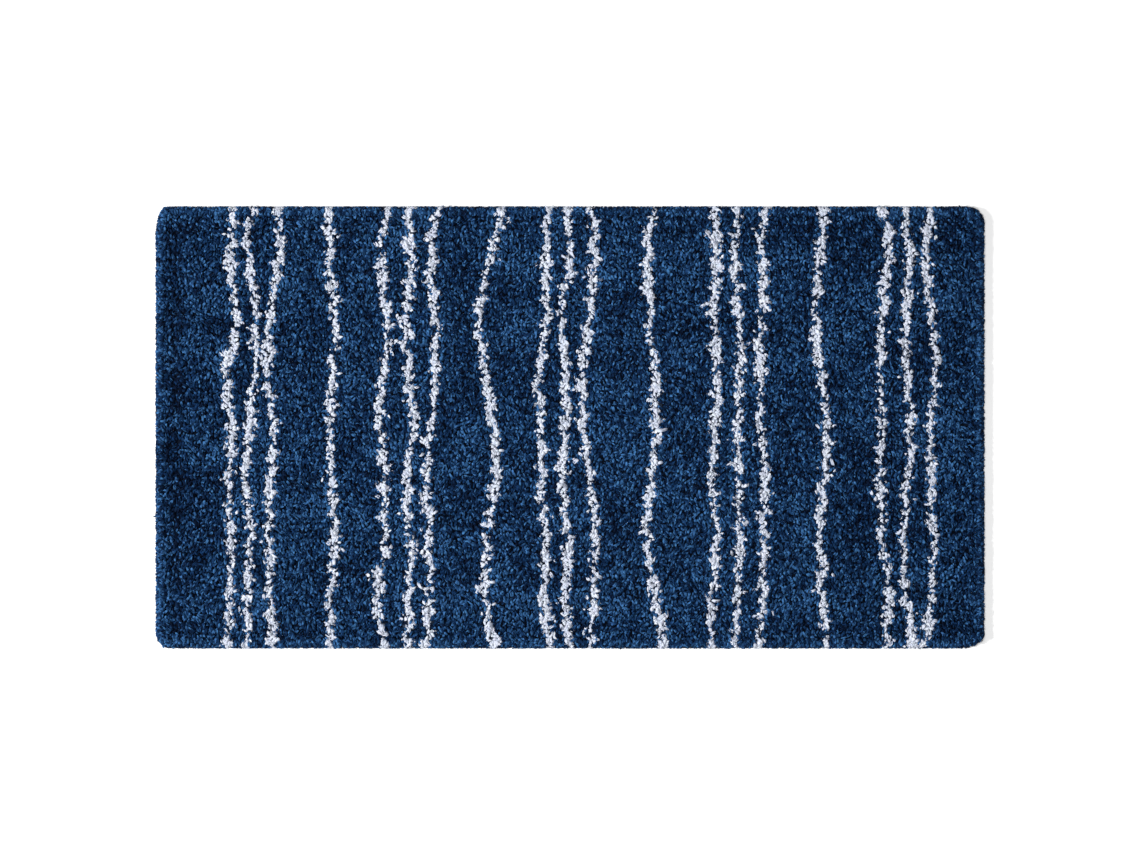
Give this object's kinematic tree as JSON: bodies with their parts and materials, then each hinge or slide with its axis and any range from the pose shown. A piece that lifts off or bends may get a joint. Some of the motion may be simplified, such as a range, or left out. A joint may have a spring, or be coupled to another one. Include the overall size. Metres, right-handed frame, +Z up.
{
  "type": "bath mat",
  "caption": "Rectangular tufted bath mat with rounded corners: soft blue cut pile crossed by wandering white stripes, on a grip-coated backing with a turned hem.",
  "frame": {"origin": "middle of the mat's underside, on the floor", "axes": "+X along the long side, +Y along the short side towards the back edge, +Z up through the pile"},
  "size_m": [1.1, 0.588, 0.015],
  "materials": {
    "blue_yarn": "matte",
    "white_yarn": "matte",
    "backing_cloth": "matte",
    "hem_cloth": "matte",
    "hem_thread": "satin",
    "grip_latex": "satin"
  },
  "bodies": {
    "root": {"backing_cloth": "backing_cloth", "grip_coating": "grip_latex", "hem_front": "hem_cloth", "hem_right": "hem_cloth", "hem_back": "hem_cloth", "hem_left": "hem_cloth", "hem_thread_front": "hem_thread", "hem_thread_right": "hem_thread", "hem_thread_back": "hem_thread", "hem_thread_left": "hem_thread", "blue_pile_01": "blue_yarn", "blue_pile_02": "blue_yarn", "blue_pile_03": "blue_yarn", "blue_pile_04": "blue_yarn", "blue_pile_05": "blue_yarn", "blue_pile_06": "blue_yarn", "blue_pile_07": "blue_yarn", "blue_pile_08": "blue_yarn", "blue_pile_09": "blue_yarn", "blue_pile_10": "blue_yarn", "blue_pile_11": "blue_yarn", "blue_pile_12": "blue_yarn", "blue_pile_13": "blue_yarn", "blue_pile_14": "blue_yarn", "blue_pile_15": "blue_yarn", "blue_pile_16": "blue_yarn", "blue_pile_17": "blue_yarn", "blue_pile_18": "blue_yarn", "blue_pile_19": "blue_yarn", "blue_pile_20": "blue_yarn", "white_pile_01": "white_yarn", "white_pile_02": "white_yarn", "white_pile_03": "white_yarn", "white_pile_04": "white_yarn", "white_pile_05": "white_yarn", "white_pile_06": "white_yarn", "white_pile_07": "white_yarn", "white_pile_08": "white_yarn", "white_pile_09": "white_yarn", "white_pile_10": "white_yarn", "white_pile_11": "white_yarn", "white_pile_12": "white_yarn", "white_pile_13": "white_yarn", "white_pile_14": "white_yarn", "white_pile_15": "white_yarn", "white_pile_16": "white_yarn", "white_pile_17": "white_yarn", "white_pile_18": "white_yarn", "white_pile_19": "white_yarn"}
  },
  "joints": []
}
